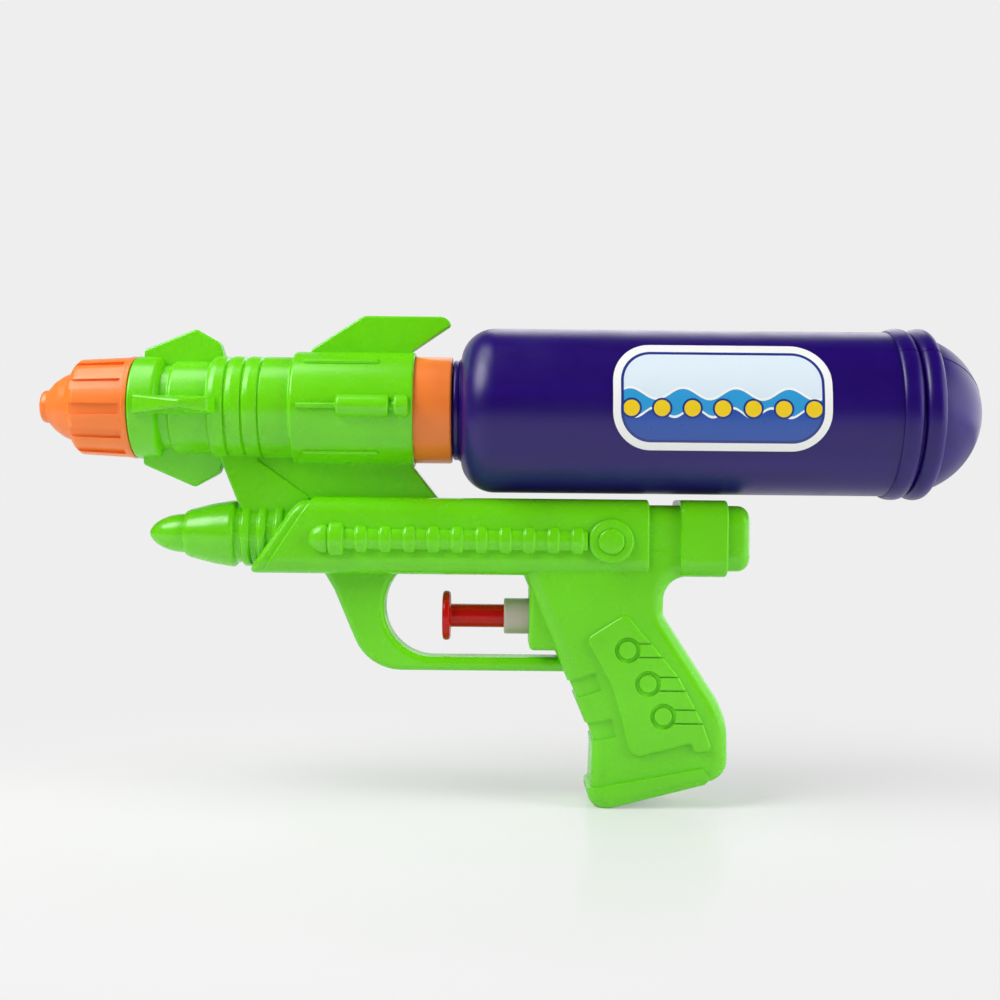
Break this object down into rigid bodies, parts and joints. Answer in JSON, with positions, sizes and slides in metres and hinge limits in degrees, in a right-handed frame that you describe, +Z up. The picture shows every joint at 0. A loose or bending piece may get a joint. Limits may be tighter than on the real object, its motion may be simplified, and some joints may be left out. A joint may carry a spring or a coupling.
{
  "type": "water squirter",
  "caption": "Hand-pumped toy water squirter: finned barrel with fluted nozzle, box receiver, trigger guard, raked grip, sliding pump trigger and screw-on domed tank.",
  "frame": {"origin": "middle of the hand grip, on the seam plane", "axes": "+X from the muzzle towards the tank's domed end, +Z up, +Y away from the pictured side, square to the seam plane"},
  "size_m": [0.2802, 0.0512, 0.1447],
  "materials": {
    "green_casing": "lime green moulded plastic, soft gloss",
    "orange_trim": "orange moulded plastic, soft gloss",
    "purple_tank": "deep violet blow-moulded plastic, satin",
    "red_trigger": "red moulded plastic, gloss",
    "natural_plastic": "uncoloured milky plastic",
    "clear_vinyl": "milky flexible vinyl tube",
    "seal_rubber": "black rubber",
    "bright_steel": "bright zinc or stainless steel",
    "printed_film": "printed adhesive film"
  },
  "bodies": {
    "frame": {"left_shell": "green_casing", "right_shell": "green_casing", "jet_pipe": "natural_plastic", "tank_collar": "orange_trim", "dip_tube": "clear_vinyl", "return_spring": "bright_steel", "rod_bush": "natural_plastic", "pump_cylinder": "natural_plastic", "valve_block": "natural_plastic", "inlet_nipple": "natural_plastic", "outlet_nipple": "natural_plastic", "inlet_spring": "bright_steel", "inlet_hose": "clear_vinyl", "outlet_hose": "clear_vinyl", "case_screw_1": "bright_steel", "case_screw_2": "bright_steel", "case_screw_3": "bright_steel", "case_screw_4": "bright_steel", "case_screw_5": "bright_steel", "case_screw_6": "bright_steel"},
    "nozzle": {"nozzle_cap": "orange_trim"},
    "trigger": {"trigger": "red_trigger", "piston_seal": "seal_rubber"},
    "tank_seal": {"tank_gasket": "seal_rubber"},
    "tank": {"tank": "purple_tank", "tank_sticker": "printed_film"},
    "inlet_valve": {"inlet_ball": "bright_steel"},
    "outlet_valve": {"outlet_ball": "bright_steel"}
  },
  "joints": [
    {"name": "nozzle_turn", "type": "hinge", "parent": "frame", "child": "nozzle", "pos_m": [-0.165, 0, 0.0837], "axis": [1, 0, 0], "range_deg": [0, 90]},
    {"name": "trigger_pull", "type": "slide", "parent": "frame", "child": "trigger", "axis": [1, 0, 0], "range_m": [0, 0.014], "stiffness_N_per_m": 250, "springref_m": -0.012, "deforming": ["return_spring"]},
    {"name": "tank_withdraw", "type": "slide", "parent": "frame", "child": "tank_seal", "axis": [1, 0, 0], "range_m": [0, 0.007]},
    {"name": "tank_unscrew", "type": "hinge", "parent": "tank_seal", "child": "tank", "pos_m": [0.02, 0, 0.0837], "axis": [1, 0, 0], "range_deg": [0, 720]},
    {"name": "inlet_ball_drop", "type": "slide", "parent": "frame", "child": "inlet_valve", "axis": [0, 0, -1], "range_m": [0, 0.0012], "stiffness_N_per_m": 60, "springref_m": -0.004, "deforming": ["inlet_spring"]},
    {"name": "outlet_ball_lift", "type": "slide", "parent": "frame", "child": "outlet_valve", "axis": [0, 0, 1], "range_m": [0, 0.0012]}
  ],
  "couplings": [
    {"joint": "tank_withdraw", "follows": "tank_unscrew", "m_per_rad": 0.00055704}
  ]
}
